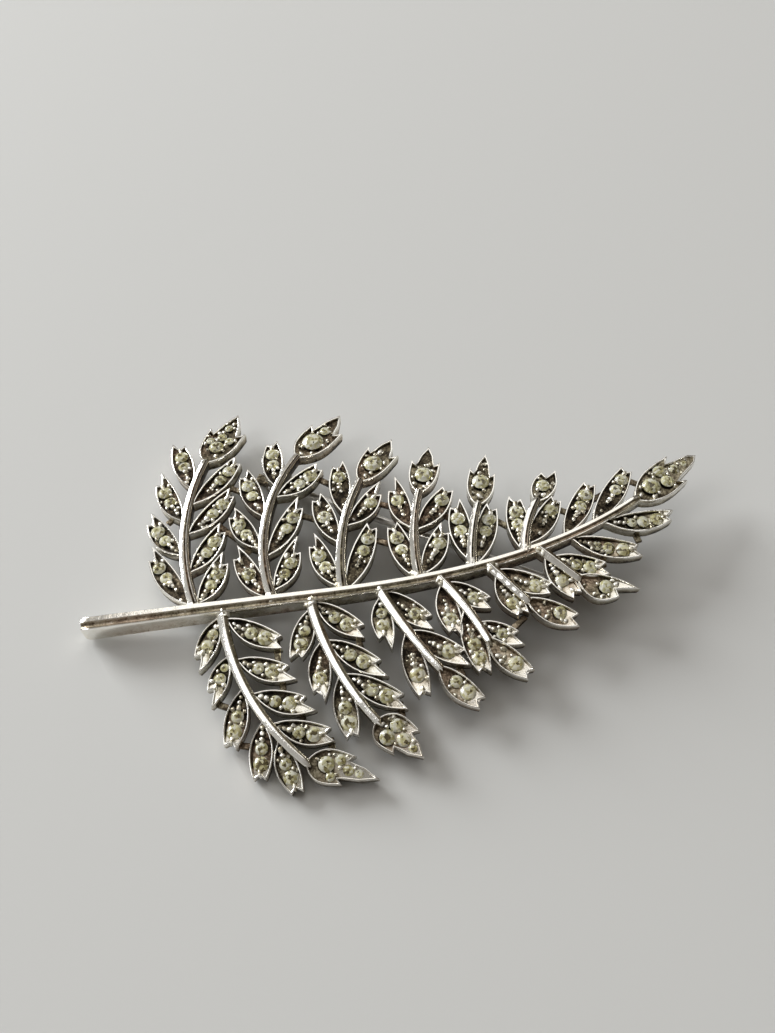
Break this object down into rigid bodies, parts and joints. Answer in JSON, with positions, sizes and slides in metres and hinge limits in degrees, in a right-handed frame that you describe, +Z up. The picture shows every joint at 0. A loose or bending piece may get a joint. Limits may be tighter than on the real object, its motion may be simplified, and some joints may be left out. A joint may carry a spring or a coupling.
{
  "type": "fern spray brooch",
  "caption": "Fern spray brooch: a curved stem with side fronds of cupped leaflets set with round pale stones, and a hinged pin with a catch behind.",
  "frame": {"origin": "centre of the bounding box's underside, on the surface the brooch lies on", "axes": "+X along the spray from the cut end of the stem to the tip leaf, +Y across it towards the long fronds, +Z up from the surface"},
  "size_m": [0.08, 0.0548, 0.0072],
  "materials": {
    "plated_metal": "worn bright plating, dark in the recesses",
    "pin_metal": "drawn wire, lightly worn",
    "paste": "faceted pale straw-coloured glass"
  },
  "bodies": {
    "frame": {"fern_frame": "plated_metal", "hinge_rivet": "pin_metal", "leaf_stones": "paste", "end_stones": "paste", "main_stone_1": "paste", "main_stone_2": "paste", "main_stone_3": "paste", "main_stone_4": "paste", "main_stone_5": "paste", "main_stone_6": "paste", "main_stone_7": "paste", "main_stone_8": "paste", "main_stone_9": "paste", "main_stone_10": "paste", "main_stone_11": "paste", "main_stone_12": "paste", "main_stone_13": "paste"},
    "needle": {"pin_needle": "pin_metal"}
  },
  "joints": [
    {"name": "pin_hinge", "type": "hinge", "parent": "frame", "child": "needle", "pos_m": [-0.01717, 0.01725, 0.00113], "axis": [0.3984, 0.9143, 0.0725], "range_deg": [0, 65]}
  ]
}
